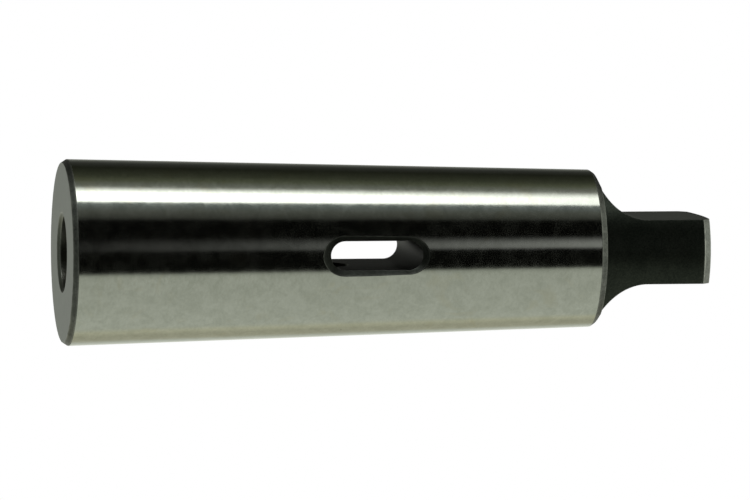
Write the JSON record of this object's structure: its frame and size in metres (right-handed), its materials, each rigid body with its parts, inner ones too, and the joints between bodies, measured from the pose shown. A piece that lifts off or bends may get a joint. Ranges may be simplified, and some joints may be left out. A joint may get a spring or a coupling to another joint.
{
  "type": "morse taper sleeve",
  "caption": "Ground steel reducing sleeve: outer taper with a flat-sided tang, a smaller taper socket inside and a drift slot through both walls.",
  "frame": {"origin": "centre of the large end face, which the sleeve stands on", "axes": "+Z along the sleeve's axis from the socket's mouth to the tang; the drift slot runs through along Y; the tang's flats face +X and -X"},
  "size_m": [0.0446, 0.0446, 0.156],
  "materials": {
    "sleeve": "cylindrically ground, with dark turned end face and black tang and slot"
  },
  "bodies": {
    "root": {"sleeve": "sleeve"}
  },
  "joints": []
}
